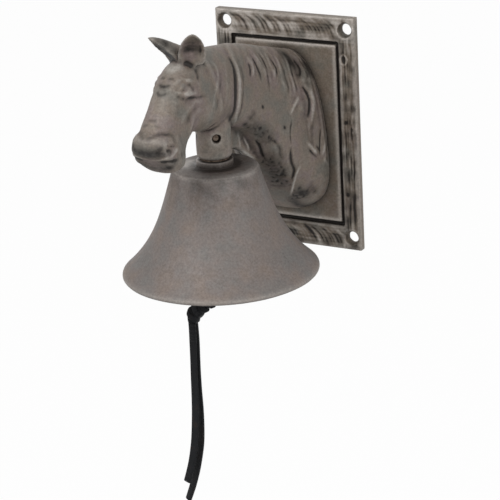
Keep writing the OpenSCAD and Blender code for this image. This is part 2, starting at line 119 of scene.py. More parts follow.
LOOK_AT = (-9.35, -53.23, -76.22)
CAMERA_AWAY = 1487.9
# Degrees round to the right, up, and tipped
CAMERA_TURN, CAMERA_LIFT, CAMERA_TIP = 30, 19.93, -3.08
# The lens and the sensor's width, in the camera's millimetres
LENS, SENSOR = 151.44, 36

WHITE = (1, 1, 1, 1)
# How strongly the white room lights the object
ROOM_LIGHT = 0.45
# The floor's height and half width in metres, its grey, and the share of it that shows as bare white paper
FLOOR_Z, FLOOR_HALF, FLOOR_GREY, FLOOR_WHITE = -0.5, 6, 0.8, 0.97


def set_camera():
    camera = bpy.data.objects.new("camera", bpy.data.cameras.new("camera"))
    camera.data.sensor_width = SENSOR
    camera.data.lens = LENS
    camera.data.clip_end = 20
    place = Matrix.Translation(Vector(LOOK_AT) * MM)
    place @= Matrix.Rotation(math.radians(CAMERA_TURN), 4, "Z")
    place @= Matrix.Rotation(math.radians(90 - CAMERA_LIFT), 4, "X")
    place @= Matrix.Rotation(math.radians(CAMERA_TIP), 4, "Z")
    camera.matrix_world = place @ Matrix.Translation((0, 0, CAMERA_AWAY * MM))
    scene.collection.objects.link(camera)
    scene.camera = camera


def area_lamp(name, place, aim, size, watts):
    lamp = bpy.data.objects.new(name, bpy.data.lights.new(name, "AREA"))
    lamp.data.shape = "DISK"
    lamp.data.size = size
    lamp.data.energy = watts
    lamp.location = place
    lamp.rotation_euler = (Vector(aim) - Vector(place)).to_track_quat("-Z", "Y").to_euler()
    scene.collection.objects.link(lamp)


def paper_rays(tree):
    """1 for the rays that should meet white paper: straight, mirrored and passing ones."""
    path = add(tree, "LightPath")
    seen = path.outputs["Is Camera Ray"]
    for kind in ("Is Glossy Ray", "Is Transmission Ray"):
        seen = add(tree, "Math", {0: seen, 1: path.outputs[kind]}, operation="MAXIMUM").outputs[0]
    return seen


def set_world():
    world = bpy.data.worlds.new("studio")
    world.use_nodes = True
    scene.world = world
    tree = world.node_tree
    tree.nodes.clear()
    room = add(tree, "Background", {"Color": WHITE, "Strength": ROOM_LIGHT})
    paper = add(tree, "Background", {"Color": WHITE, "Strength": 1})
    mix = add(tree, "MixShader", {0: paper_rays(tree), 1: room.outputs[0], 2: paper.outputs[0]})
    add(tree, "OutputWorld", {"Surface": mix.outputs[0]})


def lay_floor():
    mesh = bpy.data.meshes.new("floor")
    bm = bmesh.new()
    bmesh.ops.create_grid(bm, x_segments=1, y_segments=1, size=FLOOR_HALF)
    bmesh.ops.translate(bm, vec=(0, 0, FLOOR_Z), verts=bm.verts)
    bm.to_mesh(mesh)
    bm.free()
    floor = bpy.data.objects.new("floor", mesh)
    scene.collection.objects.link(floor)
    mat, tree = empty_material("white_paper_floor")
    matt = add(tree, "BsdfDiffuse", {"Color": (FLOOR_GREY, FLOOR_GREY, FLOOR_GREY, 1)})
    glow = add(tree, "Emission", {"Strength": 1})
    share = add(tree, "Math", {0: paper_rays(tree), 1: FLOOR_WHITE}, operation="MULTIPLY").outputs[0]
    mix = add(tree, "MixShader", {0: share, 1: matt.outputs[0], 2: glow.outputs[0]})
    add(tree, "OutputMaterial", {"Surface": mix.outputs[0]})
    mesh.materials.append(mat)


def set_studio():
    set_world()
    area_lamp("key_softbox", (-0.35, -1.22, 1.22), (0, -0.08, 0), size=1.0, watts=15.3)
    area_lamp("fill_softbox", (1.5, -0.9, 0.35), (0, -0.05, -0.02), size=1.2, watts=9.5)
    lay_floor()
    scene.view_settings.view_transform = "Standard"


# ---- materials ----

def cast_iron(name, worn, clouded, hollow_finish_and_shade, metallic, rough, grain):
    """Sand-cast iron under a brown antique finish: the rubbed ridges are paler, the hollows keep dark finish, and
    the skin has the fine pitting of casting sand, grain millimetres deep. Ambient occlusion darkens shut-in
    corners, as pooled finish and as painted shade. Two attributes of the mesh lead it: 'relief' runs from -1 in
    a hollow to 1 on a ridge, and 'tone' from -1 to 1 carries the finish, from dark to rubbed, together with
    painted light: its negative values paint shade and shadows, and its positive ones paint highlights."""
    mat, tree, surface = new_material(name)
    place = add(tree, "TexCoord").outputs["Object"]
    # The finish pools in clouds 16 mm across, greyer here and browner there
    body = ramp(tree, cloud(tree, place, 16, 4, 0.55), list(zip((0.36, 0.5, 0.64), clouded)))
    # Rub marks and stains 4 mm across
    stains = cloud(tree, place, 4, 5, 0.65)
    # Casting sand, 0.3 mm, drawn at 1.4 mm so that it shows
    sand = cloud(tree, place, 1.4, 3, 0.6)
    relief = add(tree, "Attribute", attribute_name="relief").outputs["Fac"]
    tone = add(tree, "Attribute", attribute_name="tone").outputs["Fac"]
    crevice_finish_and_shade = add(tree, "AmbientOcclusion", {"Distance": 8 * MM}, samples=8).outputs["AO"]
    mottle = add(tree, "Math", {0: stains, 1: 0.5}, operation="SUBTRACT").outputs[0]

    def blend(under, over, parts):
        """under, covered by over as far as the parts add up to, with mottled edges."""
        total = parts[0]
        for part in parts[1:]:
            total = add(tree, "Math", {0: total, 1: part}, operation="ADD").outputs[0]
        total = add(tree, "Math", {0: mottle, 1: 1.0, 2: total}, operation="MULTIPLY_ADD", use_clamp=True).outputs[0]
        return add(tree, "Mix", {"Factor": total, 6: under, 7: rgb(over)}, data_type="RGBA").outputs[2]

    # Ridges are rubbed paler; positive tone gives rubbed spots and painted highlights in the same rubbed colour
    rubbed = blend(body, worn, [fit(tree, relief, 0.05, 0.8, 0, 0.45), fit(tree, tone, 0, 1, 0, 0.9)])
    # Hollows keep dark finish; ambient occlusion darkens corners as pooled finish and as painted shade, and negative
    # tone paints dark finish and painted shade and shadows, all in the hollows' colour
    colour = blend(rubbed, hollow_finish_and_shade, [fit(tree, relief, -0.05, -0.6, 0, 0.7), fit(tree, crevice_finish_and_shade, 0.9, 0.3, 0, 0.85),
                                    fit(tree, tone, 0, -0.9, 0, 0.95)])
    speck = fit(tree, sand, 0.3, 0.7, 0.8, 1.17)
    colour = add(tree, "VectorMath", {0: colour, 1: speck}, operation="MULTIPLY").outputs[0]
    tree.links.new(colour, surface.inputs["Base Color"])
    # Rubbed iron is smoother
    dull = fit(tree, stains, 0.3, 0.7, rough - 0.05, rough + 0.1)
    dull = add(tree, "Math", {0: dull, 1: fit(tree, tone, 0, 1, 0, -0.2)}, operation="ADD").outputs[0]
    tree.links.new(dull, surface.inputs["Roughness"])
    surface.inputs["Metallic"].default_value = metallic
    surface.inputs["Specular IOR Level"].default_value = 0.3
    pits = add(tree, "Bump", {"Height": sand, "Strength": 0.5, "Distance": grain * MM})
    lumps = add(tree, "Bump", {"Height": stains, "Strength": 0.5, "Distance": 3 * grain * MM,
                               "Normal": pits.outputs[0]})
    tree.links.new(lumps.outputs[0], surface.inputs["Normal"])
    return mat


def machined_steel(name, colour, stain, rough):
    """Drawn or turned steel, dulled by handling: bright, with brown stain where it is never touched."""
    mat, tree, surface = new_material(name)
    place = add(tree, "TexCoord").outputs["Object"]
    # Stain in patches 3 mm across, drawing marks 0.5 mm across
    patches = cloud(tree, place, 3, 4, 0.6)
    marks = cloud(tree, place, 0.5, 2)
    tree.links.new(ramp(tree, patches, [(0.42, colour), (0.68, stain)]), surface.inputs["Base Color"])
    surface.inputs["Metallic"].default_value = 1
    tree.links.new(fit(tree, patches, 0.35, 0.7, rough, rough + 0.25), surface.inputs["Roughness"])
    bump = add(tree, "Bump", {"Height": marks, "Strength": 0.3, "Distance": 0.05 * MM})
    tree.links.new(bump.outputs[0], surface.inputs["Normal"])
    return mat


def black_leather():
    """Drum-dyed cowhide lace: near black, a soft waxy shine, and a pebbled grain of about half a millimetre.
    Where it is worn, the brown of the hide shows through."""
    mat, tree, surface = new_material("black_leather_lace")
    place = add(tree, "TexCoord").outputs["Object"]
    wear = cloud(tree, place, 7, 4, 0.6)
    # Grain cells, 0.4 mm on the hide, drawn at 0.8 mm
    cells = add(tree, "TexVoronoi", {"Vector": place, "Scale": scale_of(0.8)}, feature="DISTANCE_TO_EDGE")
    colour = ramp(tree, wear, [(0.35, "0B0C0E"), (0.55, "121316"), (0.74, "241E1B")])
    tree.links.new(colour, surface.inputs["Base Color"])
    surface.inputs["Specular IOR Level"].default_value = 0.15
    tree.links.new(fit(tree, wear, 0.3, 0.7, 0.48, 0.66), surface.inputs["Roughness"])
    bump = add(tree, "Bump", {"Height": cells.outputs[0], "Strength": 0.35, "Distance": 0.12 * MM})
    tree.links.new(bump.outputs[0], surface.inputs["Normal"])
    return mat


# Each iron has its rubbed colour, also used for painted highlights, the three colours of its clouds, and the
# colour of its hollows, also used for painted shade and shadows
HEAD_IRON = cast_iron("antiqued_cast_iron_head", "A8A39C", ("6B6760", "776C62", "766965"), "231F1C",
                      metallic=0.2, rough=0.55, grain=0.10)
PLATE_IRON = cast_iron("antiqued_cast_iron_plate", "B0A9A2", ("65615A", "6C6257", "6A5E54"), "211D1A",
                       metallic=0.2, rough=0.56, grain=0.14)
BELL_IRON = cast_iron("antiqued_cast_iron_bell", "A29C96", ("726E6B", "776F6B", "7A6F68"), "2C2622",
                      metallic=0.25, rough=0.58, grain=0.09)
BALL_IRON = cast_iron("dark_cast_iron_ball", "7A736C", ("4A4541", "4E4641", "514740"), "221F1D",
                      metallic=0.35, rough=0.55, grain=0.12)
WASHER_STEEL = machined_steel("browned_steel_washer", "6B5F55", "3B2F28", rough=0.5)
HANGER_STEEL = machined_steel("drawn_steel_hanger", "8E8A85", "5A4E45", rough=0.38)
SCREW_STEEL = machined_steel("zinc_plated_screw_steel", "B4B3AE", "8C8577", rough=0.32)
LEATHER = black_leather()


def finish_the_hardware():
    for name, material in {
        "head_screws": SCREW_STEEL, "screw_washers": SCREW_STEEL, "hanger_bolt": HANGER_STEEL,
        # The hanger pin takes the browned washer steel: dark as its finish, and as painted shade for the boss's
        # recess
        "hanger_pin": WASHER_STEEL, "crown_washer": WASHER_STEEL, "clapper_link": HANGER_STEEL,
        "clapper_rod": HANGER_STEEL, "clapper_ball": BALL_IRON,
    }.items():
        mesh = nodes[name].data
        mesh.materials.clear()
        mesh.materials.append(material)


# ---- tools for shaping ----

def show(mesh, name, material):
    """A smooth-shaded piece in the scene, of one material."""
    mesh.materials.clear()
    mesh.materials.append(material)
    for face in mesh.polygons:
        face.use_smooth = True
        face.material_index = 0
    piece = bpy.data.objects.new(name, mesh)
    scene.collection.objects.link(piece)
    return piece


def to_piece(bm, name, material):
    bmesh.ops.recalc_face_normals(bm, faces=bm.faces)
    mesh = bpy.data.meshes.new(name)
    bm.to_mesh(mesh)
    bm.free()
    return show(mesh, name, material)


def solid_copy(node, voxel, plump=None):
    """A merged copy of a CAD node, remade as an even skin of small quads that can be sculpted. plump gives how far
    a point moves out first, which keeps a wall that is thinner than a quad."""
    bm = bmesh.new()
    bm.from_mesh(nodes[node].data)
    bmesh.ops.remove_doubles(bm, verts=bm.verts, dist=0.002 * MM)
    if plump:
        bm.normal_update()
        moves = [(vert, vert.normal * plump(vert.co / MM) * MM) for vert in bm.verts]
        for vert, move in moves:
            vert.co += move
    mesh = bpy.data.meshes.new(node + "_skin")
    bm.to_mesh(mesh)
    bm.free()
    piece = bpy.data.objects.new(node + "_skin", mesh)
    scene.collection.objects.link(piece)
    remesh = piece.modifiers.new("voxels", "REMESH")
    remesh.mode = "VOXEL"
    remesh.voxel_size = voxel * MM
    graph = bpy.context.evaluated_depsgraph_get()
    fine = bpy.data.meshes.new_from_object(piece.evaluated_get(graph))
    bpy.data.objects.remove(piece)
    return fine


class Skin:
    """The points of a fine mesh in millimetres, with what sculpting needs of them."""

    def __init__(self, mesh):
        self.mesh = mesh
        count = len(mesh.vertices)
        flat = np.empty(3 * count)
        mesh.vertices.foreach_get("co", flat)
        self.at = flat.reshape(-1, 3) / MM
        pairs = np.empty(2 * len(mesh.edges), dtype=np.int32)
        mesh.edges.foreach_get("vertices", pairs)
        self.edges = pairs.reshape(-1, 2)
        self.degree = np.maximum(np.bincount(pairs, minlength=count), 1)
        self.update()

    def update(self):
        """Writes the points to the mesh, and reads its normals."""
        self.mesh.vertices.foreach_set("co", (self.at * MM).ravel())
        self.mesh.update()
        flat = np.empty(3 * len(self.at))
        self.mesh.vertices.foreach_get("normal", flat)
        self.out = flat.reshape(-1, 3)

    def mean(self, values):
        """The mean of each point's neighbours."""
        a, b = self.edges.T
        total = np.stack([np.bincount(a, values[b, k], len(values)) + np.bincount(b, values[a, k], len(values))
                          for k in range(values.shape[1])], axis=1)
        return total / self.degree[:, None]

    def soften(self, rounds, free=None):
        """Smooths the skin. free is 1 where a point may move and 0 where it stays."""
        share = 0.5 if free is None else 0.5 * free[:, None]
        for _ in range(rounds):
            self.at += share * (self.mean(self.at) - self.at)
        self.update()

    def raise_by(self, height):
        self.at += self.out * height[:, None]
        self.update()

    def relief(self, depth, fine=6, broad=40):
        """How far each point stands over the skin smoothed for a few rounds and for many, from -1 to 1, kept on
        the mesh for the finish. depth is the height that counts as full over the smoother one."""
        full = {fine: 0.35 * depth, broad: depth}
        level, total = self.at.copy(), np.zeros(len(self.at))
        for k in range(1, broad + 1):
            level += 0.5 * (self.mean(level) - level)
            if k in full:
                total += ((self.at - level) * self.out).sum(axis=1) / full[k]
        self.keep("relief", total / 2)

    def keep(self, name, values):
        """Values from -1 to 1 at each point, kept on the mesh for the finish."""
        layer = self.mesh.attributes.new(name, "FLOAT", "POINT")
        layer.data.foreach_set("value", np.clip(values, -1, 1).astype(np.float32))

    def tree(self):
        corners = [tuple(face.vertices) for face in self.mesh.polygons]
        return BVHTree.FromPolygons([Vector(p) for p in self.at], corners)


def smooth_line(points, step):
    """A smooth line through points (millimetres), with a point about every step."""
    pts = [Vector(p) for p in points]
    if len(pts) < 3:
        count = max(int((pts[-1] - pts[0]).length / step), 1)
        return np.array([pts[0].lerp(pts[-1], k / count) for k in range(count + 1)])
    pts = [2 * pts[0] - pts[1]] + pts + [2 * pts[-1] - pts[-2]]
    line = []
    for a, b, c, d in zip(pts, pts[1:], pts[2:], pts[3:]):
        count = max(int(round((c - b).length / step)), 1)
        for k in range(count):
            t = k / count
            line.append(0.5 * (2 * b + (c - a) * t + (2 * a - 5 * b + 4 * c - d) * t ** 2
                               + (3 * b - a - 3 * c + d) * t ** 3))
    line.append(pts[-2])
    return np.array(line)


def length_of(line):
    return float(np.linalg.norm(np.diff(line, axis=0), axis=1).sum())


def stroke(skin, line, width, taper=0.25):
    """How near each point is to a line, from 1 on it to nearly 0 two widths off. It fades out over the taper, a
    share of the line's length, at both ends."""
    mark = np.zeros(len(skin.at))
    reach = 2.2 * width
    near = np.where(((skin.at > line.min(axis=0) - reach) & (skin.at < line.max(axis=0) + reach)).all(axis=1))[0]
    if not len(near) or len(line) < 2:
        return mark
    points = skin.at[near]
    best = np.full(len(near), np.inf)
    along = np.zeros(len(near))
    last = len(line) - 1
    for k in range(last):
        a, ab = line[k], line[k + 1] - line[k]
        t = np.clip(((points - a) @ ab) / max(ab @ ab, 1e-9), 0, 1)
        gap = np.linalg.norm(points - a - t[:, None] * ab, axis=1)
        closer = gap < best
        best[closer] = gap[closer]
        along[closer] = (k + t[closer]) / last
    fade = np.clip(along / taper, 0, 1) ** 0.7 * np.clip((1 - along) / taper, 0, 1) ** 0.7
    # A line hardly longer than it is wide is a spot, and doesn't fade
    length = length_of(line)
    if length < 3 * width:
        fade = np.maximum(fade, 1 - length / (3 * width))
    mark[near] = fade * np.exp(-1.6 * (best / width) ** 2)
    return mark


def onto(surface, points):
    """Points moved to the nearest places on the surface."""
    return [surface.find_nearest(Vector(p))[0] for p in points]


def lumpy(points, size, seed, stretch=(1, 1, 1)):
    """Smooth noise at each point, about -1 to 1, with lumps about size millimetres across."""
    shift = Vector((seed * 7.3, seed * 3.1, seed * 5.7))
    along, deep, up = stretch
    return np.array([noise.noise(Vector((x / along, y / deep, z / up)) / size + shift) for x, y, z in points])


# ---- leather pull ----

# Routes are measured from the crown
LACE_WIDE, LACE_THICK = 5.6, 2.4
KNOT_ROUTE = [(0, 0, -99.8), (-4, 0, -100.1), (-9, 0, -100.8), (-14, -0.4, -102.8), (-18.5, -0.8, -105.4),
    (-22, -1, -109), (-24, -1, -113), (-24.8, -1, -117)]
FRONT_TAIL = [(-24.6, -2.6, -116.7), (-24.4, -2.8, -124), (-24.6, -3, -133), (-25, -3, -145), (-25.4, -3, -157),
    (-25.8, -3, -170), (-26.4, -3, -183), (-27.4, -3, -196), (-28.6, -3, -208), (-30.4, -3.2, -219),
    (-32.8, -3.4, -229), (-36.4, -3.6, -241)]
REAR_TAIL = [(-24.8, 0.6, -116.7), (-24.8, 1, -124), (-25, 1.6, -133), (-25.4, 2, -145), (-25.6, 2, -157),
    (-25.6, 2, -170), (-25.2, 2, -184), (-25.4, 2, -197), (-26.4, 2, -210), (-28.6, 1.8, -222),
    (-31.4, 1.6, -234), (-35, 1.4, -246), (-39.4, 1, -258)]
# The knot's width at even steps of its route, and how thick it is for its width
KNOT_WIDTHS = [2.4, 3.6, 5.4, 7.4, 9.2, 9.6, 8.4, 6.6]
KNOT_THICK = 0.82
# The loop through the clapper's lower eye: its height, its radius and the lace's section there
LOOP_Z, LOOP_R, LOOP_WIDE, LOOP_THICK = -95.2, 4.6, 4.2, 1.9
# The turns that bind the knot: how many, where they start and how far they run on the route, and their section
TURNS, TURNS_FROM, TURNS_RUN, TURN_WIDE, TURN_THICK = 3.1, 0.3, 0.62, 4.2, 1.7


def disc(bm, around):
    """The lace's section, a disc squared off into a strip with round edges."""
    ring = bmesh.ops.create_circle(bm, cap_ends=True, segments=around, radius=1)["verts"]
    for vert in ring:
        vert.co.x = math.copysign(abs(vert.co.x) ** 0.62, vert.co.x)
        vert.co.y = math.copysign(abs(vert.co.y) ** 0.62, vert.co.y)
    return ring


def section(across, face, ahead, wide, thick, middle):
    """Places a disc at a point of the lace."""
    place = Matrix((across * wide / 2, face * thick / 2, ahead)).transposed().to_4x4()
    place.translation = middle
    return Matrix.Scale(MM, 4) @ place


def draw_out(bm, ring, sections):
    """Pulls the ring's face along the sections, one short length at a time."""
    at = sections[0]
    bmesh.ops.transform(bm, matrix=at, verts=ring)
    cap = ring[0].link_faces[0]
    for to in sections[1:]:
        new = bmesh.ops.extrude_face_region(bm, geom=[cap])["geom"]
        cap = next(g for g in new if isinstance(g, bmesh.types.BMFace))
        moved = [g for g in new if isinstance(g, bmesh.types.BMVert)]
        bmesh.ops.transform(bm, matrix=to @ at.inverted(), verts=moved)
        at = to


def lace(bm, route, wide, thick, step=1.2, turn=lambda t: 0):
    """A flat lace that faces the front. wide and thick are the full section at t from 0 to 1, and turn is its
    twist in degrees."""
    line = smooth_line(route, step)
    last = len(line) - 1
    sections = []
    for k in range(last + 1):
        t = k / last
        ahead = (Vector(line[min(k + 1, last)]) - Vector(line[max(k - 1, 0)])).normalized()
        across = ahead.cross(FRONT).normalized()
        face = across.cross(ahead)
        spin = Matrix.Rotation(math.radians(turn(t)), 3, ahead)
        sections.append(section(spin @ across, spin @ face, ahead, wide(t), thick(t), Vector(line[k])))
    draw_out(bm, disc(bm, 20), sections)
    return line


def wound_lace(bm, points, centres, wide, thick):
    """A lace whose flat side faces the centres that it is wound round."""
    last = len(points) - 1
    sections = []
    for k, (point, centre) in enumerate(zip(points, centres)):
        ahead = (points[min(k + 1, last)] - points[max(k - 1, 0)]).normalized()
        across = ahead.cross((point - centre).normalized()).normalized()
        sections.append(section(across, across.cross(ahead), ahead, wide, thick, point))
    draw_out(bm, disc(bm, 16), sections)


def from_crown(points):
    return [Vector(p) + CROWN for p in points]


def knot_width(t):
    """The knot's width at t from 0 to 1 along its route."""
    place = t * (len(KNOT_WIDTHS) - 1)
    k = min(int(place), len(KNOT_WIDTHS) - 2)
    return KNOT_WIDTHS[k] + (KNOT_WIDTHS[k + 1] - KNOT_WIDTHS[k]) * (place - k)


def binding_turns(line):
    """The middle line of the lace that binds the knot, and for each of its points the nearest on the route."""
    turns, steps = [], 110
    for k in range(steps + 1):
        t = TURNS_FROM + TURNS_RUN * k / steps
        place = int(t * (len(line) - 1))
        here = Vector(line[place])
        ahead = (Vector(line[min(place + 1, len(line) - 1)]) - here).normalized()
        across = ahead.cross(FRONT).normalized()
        face = across.cross(ahead)
        angle = 2 * math.pi * TURNS * k / steps
        half = knot_width(t) / 2 + 0.35
        turns.append(here + across * half * math.cos(angle) + face * 0.84 * half * math.sin(angle))
    nearest = [Vector(line[np.argmin(np.linalg.norm(line - np.array(p), axis=1))]) for p in turns]
    return turns, nearest


def make_knot():
    """The lace loops through the clapper's lower eye, its two ends run together and three turns bind them."""
    bm = bmesh.new()
    route = from_crown(KNOT_ROUTE)
    lace(bm, route, knot_width, lambda t: KNOT_THICK * knot_width(t), step=0.8)
    eye = CROWN + Vector((0, 0, LOOP_Z))
    angles = [2 * math.pi * k / 24 for k in range(25)]
    loop = [eye + Vector((0, LOOP_R * math.cos(a), LOOP_R * math.sin(a))) for a in angles]
    middle = sum(loop, Vector()) / len(loop)
    wound_lace(bm, loop, [middle] * len(loop), LOOP_WIDE, LOOP_THICK)
    turns, nearest = binding_turns(smooth_line(route, 0.5))
    wound_lace(bm, turns, nearest, TURN_WIDE, TURN_THICK)
    piece = to_piece(bm, "leather_knot", LEATHER)
    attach(piece, "clapper")
    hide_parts("pull_knot")


def make_tail(name, node, route, turn):
    """One hanging end of the lace, cut off square at the bottom."""
    bm = bmesh.new()
    line = lace(bm, from_crown(route), lambda t: LACE_WIDE * (1 + 0.03 * math.sin(19 * t)),
                lambda t: LACE_THICK * (1 + 0.06 * math.sin(23 * t + 1)), turn=turn)
    piece = to_piece(bm, name, LEATHER)
    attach(piece, "clapper")
    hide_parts(node)


def hang_the_pull():
    make_knot()
    make_tail("leather_front_tail", "pull_front_tail", FRONT_TAIL, lambda t: 4 + 10 * math.sin(3 * t))
    make_tail("leather_rear_tail", "pull_rear_tail", REAR_TAIL,
              lambda t: -6 + 14 * math.sin(3.4 * t) + 34 * t ** 6)


# ---- bell ----

# The rim, the crown, the whole height, and the depth at which the soft shoulder ends
RIM_R, CROWN_R, BELL_H, SIDE_FROM = 66.5, 30, 72.5, 4
# The hub over the crown and the bore through it
HUB_R, HUB_H, BORE_R = 12.5, 4.6, 3.1
# The side leans out by TAPER for each millimetre down, and flares by the power FLARE as well
WALL, TAPER, FLARE = 3.6, 0.3, 3.6


def arc(centre, radius, angles):
    """Points round a centre, by angles in degrees from straight out; 90 is up."""
    return [[centre[0] + radius * math.cos(math.radians(a)), centre[1] + radius * math.sin(math.radians(a))]
            for a in angles]


def bell_profile():
    """The bell's section as (radius, height over the crown), from the bore out and back to it."""
    side = BELL_H - SIDE_FROM
    spread = RIM_R - CROWN_R - TAPER * side

    def outer(h):
        down = (h - SIDE_FROM) / side
        slope = TAPER + spread * FLARE / side * down ** (FLARE - 1)
        inward = np.array([-1, -slope]) / math.hypot(1, slope)
        return np.array([CROWN_R + TAPER * (h - SIDE_FROM) + spread * down ** FLARE, -h]), inward

    line = [[BORE_R, HUB_H], [7, HUB_H]] + arc((HUB_R - 1, HUB_H - 1), 1, (90, 60, 30, 0))
    line += [[HUB_R, 0.9]] + arc((HUB_R + 0.8, 0.8), 0.8, (180, 210, 240, 270)) + [[20, 0]]
    # The crown's edge falls away in a soft shoulder
    line += [[26, 0], [27, -0.15], [27.5, -0.55], [28, -0.8], [28.7, -1.3], [29.3, -2], [29.8, -2.9]]
    heights = [SIDE_FROM + side * k / 44 for k in range(45)]
    line += [list(outer(h)[0]) for h in heights]
    # A round lip, a little thicker than the wall
    place, inward = outer(BELL_H)
    along = np.array([-inward[1], inward[0]])
    for a in range(20, 180, 20):
        a = math.radians(a)
        line.append(list(place + WALL / 2 * inward - WALL / 2 * math.cos(a) * inward
                         + (WALL / 2 + 0.3) * math.sin(a) * along))
    # Up the inside and round its corner to the bore
    top, corner = WALL + 0.6, 5
    for h in heights[:0:-1]:
        if h > top + corner + 0.5:
            line.append(list(outer(h)[0] + WALL * outer(h)[1]))
    reach = (outer(top + corner)[0] + WALL * outer(top + corner)[1])[0] - corner
    line += arc((reach, -top - corner), corner, range(0, 91, 15))
    line += [[14, -top], [BORE_R, -top]]
    return line


def make_bell():
    bm = bmesh.new()
    verts = [bm.verts.new((r * MM, -REACH * MM, (CROWN_Z + h) * MM)) for r, h in bell_profile()]
    loop = verts + verts[:1]
    edges = [bm.edges.new(pair) for pair in zip(loop, loop[1:])]
    bmesh.ops.spin(bm, geom=verts + edges, axis=(0, 0, 1), cent=(0, -REACH * MM, 0),
                   angle=2 * math.pi, steps=300, use_merge=True)
    piece = to_piece(bm, "bell_casting", BELL_IRON)
    skin = Skin(piece.data)
    radial = np.hypot(skin.at[:, 0], skin.at[:, 1] + REACH)
    height = skin.at[:, 2] - CROWN_Z
    # The casting isn't dead true: low swells 22 mm across and the drag of the mould, 5 mm across
    free = np.clip((radial - HUB_R - 1) / 8, 0, 1)
    skin.raise_by(free * (0.10 * lumpy(skin.at, 22, 1) + 0.035 * lumpy(skin.at, 5, 2)))
    skin.relief(1.1)
    # Painted shadow of the boss and head darkens the crown's top, over its dark brown finish; a painted shade line
    # runs round the crown's edge, and a painted highlight lies on one side of the crown; the faces that look down,
    # inside, are darker
    inside = skin.out[:, 2] < -0.25
    crown = np.clip((27.5 - radial) / 2, 0, 1) * (height > -1.5)
    edge = np.exp(-((radial - 27.6) / 1.0) ** 2) * (height > -3)
    bright = np.exp(-((skin.at[:, 0] + 17) ** 2 + (skin.at[:, 1] + 114) ** 2) / 90) * (height > -1)
    # Painted shade all round the side under the shoulder, for the shadow of the boss and head, fading out 27 mm
    # below the crown and broken in clouds 9 mm across
    high = np.clip(1 + (height + 3) / 24, 0, 1) * (height < -1.5) * (1 - inside)
    high *= np.clip(0.55 + 1.3 * lumpy(skin.at, 9, 3), 0, 1)
    skin.keep("tone", 1.7 * bright - (0.45 * crown + 0.4 * edge) * (1 - bright) - 0.3 * inside - 0.4 * high)
    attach(piece, "bell")
    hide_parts("bell")


# ---- back plate ----

# The border starts this far from the plate's middle, and the panel ends this far from it
BORDER_X, BORDER_Z = 42.5, 67.5
PANEL_X, PANEL_Z = 40, 65
# The border's face, and the depth behind which the plate's edges stay plain
BORDER_Y, PLAIN_Y = -6.4, -1.5


def board_marks():
    """The bark on the border's boards: splits along the uprights, slanting folds across the ends, knots and spots,
    as (line, width, rise, tone)."""
    rng = random.Random(21)
    flat = []
    for side in (-1, 1):
        for _ in range(30):
            x, z, long = side * rng.uniform(43.6, 53.8), rng.uniform(-82, 62), rng.uniform(12, 34)
            rise = rng.choice([-0.22, -0.15, 0.15])
            line = [(x, z), (x + rng.uniform(-0.6, 0.6), z + long / 2), (x + rng.uniform(-0.7, 0.7), z + long)]
            flat.append((line, rng.uniform(0.6, 1.0), rise, 1.6 * rise))
        # Arched folds across the two ends, one beside the next
        x = -56.0
        high, low = (84, 69) if side > 0 else (-69, -84)
        while x < 48:
            lean = rng.uniform(10, 12)
            rise = rng.choice([-0.3, -0.2, 0.2])
            line = [(x, high - rng.uniform(0, 2)), (x + 0.62 * lean, (high + low) / 2 + 1.2),
                    (x + lean, low + rng.uniform(0, 2))]
            flat.append((line, rng.uniform(1.0, 1.5), rise, 0.8 * rise))
            x += rng.uniform(2.4, 3.6)
    # Knots: two arches that meet like a lens, round a dark heart
    for x, z, high in ((46.4, 55, 4.6), (-48.4, 30, 4)):
        for side in (-1, 1):
            flat.append(([(x, z + high), (x + 2.4 * side, z + 0.3 * high), (x + 2.3 * side, z - 0.3 * high),
                          (x, z - high)], 0.8, 0.35, 0.4))
        flat.append(([(x, z + 0.6 * high), (x, z - 0.6 * high)], 1.4, -0.5, -0.7))
    # Dark spots
    for x, z in ((46.5, 9.7), (51, 5), (46, -43.5), (-50, 8)):
        flat.append(([(x, z - 0.5), (x, z + 0.5)], 1.3, -0.3, -0.9))
    # A chip in the panel's foot shows bare metal
    flat.append(([(23.1, -63), (23.5, -63)], 0.7, 0, 1))
    return [(smooth_line([(u, BORDER_Y, v) for u, v in line], 1), width, rise, shade)
            for line, width, rise, shade in flat]


def make_plate():
    mesh = solid_copy("back_plate", 0.7)
    skin = Skin(mesh)
    skin.soften(2)
    x, y, z = skin.at.T
    front = (skin.out[:, 1] < -0.6) & (y < -5.2)
    upright = abs(x) > BORDER_X
    border = front & (upright | (abs(z) > BORDER_Z))
    panel = front & (abs(x) < PANEL_X) & (abs(z) < PANEL_Z)
    # Fibres run along each board of the border
    fibres = np.where(upright, lumpy(skin.at, 1.5, 3, (1, 1, 11)), lumpy(skin.at, 1.7, 4, (11, 1, 1)))
    height = border * 0.14 * fibres + panel * 0.08 * lumpy(skin.at, 9, 5)
    tone = border * 0.25 * fibres
    for line, width, rise, shade in board_marks():
        mark = stroke(skin, line, width)
        height += rise * mark
        tone += shade * mark
    # Dark finish lies in clouds on the boards; the top board is painted paler, as light from above shows it, and
    # the others are darker
    clouds = lumpy(skin.at, 7, 8)
    height += border * 0.2 * clouds
    tone += border * (0.7 * clouds - 0.2 + 0.5 * (z > BORDER_Z))
    # Painted highlights lie along the panel's foot and its top edge, where the light catches their edges
    tone += panel * (0.4 * np.exp(-((z + 63.5) / 1.8) ** 2) + 0.35 * np.exp(-((z - 64.5) / 1.2) ** 2))
    height[y > PLAIN_Y] = 0
    skin.raise_by(height)
    skin.relief(0.35)
    skin.keep("tone", tone)
    piece = show(mesh, "framed_plate_casting", PLATE_IRON)
    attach(piece, "mount")
    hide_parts("back_plate")
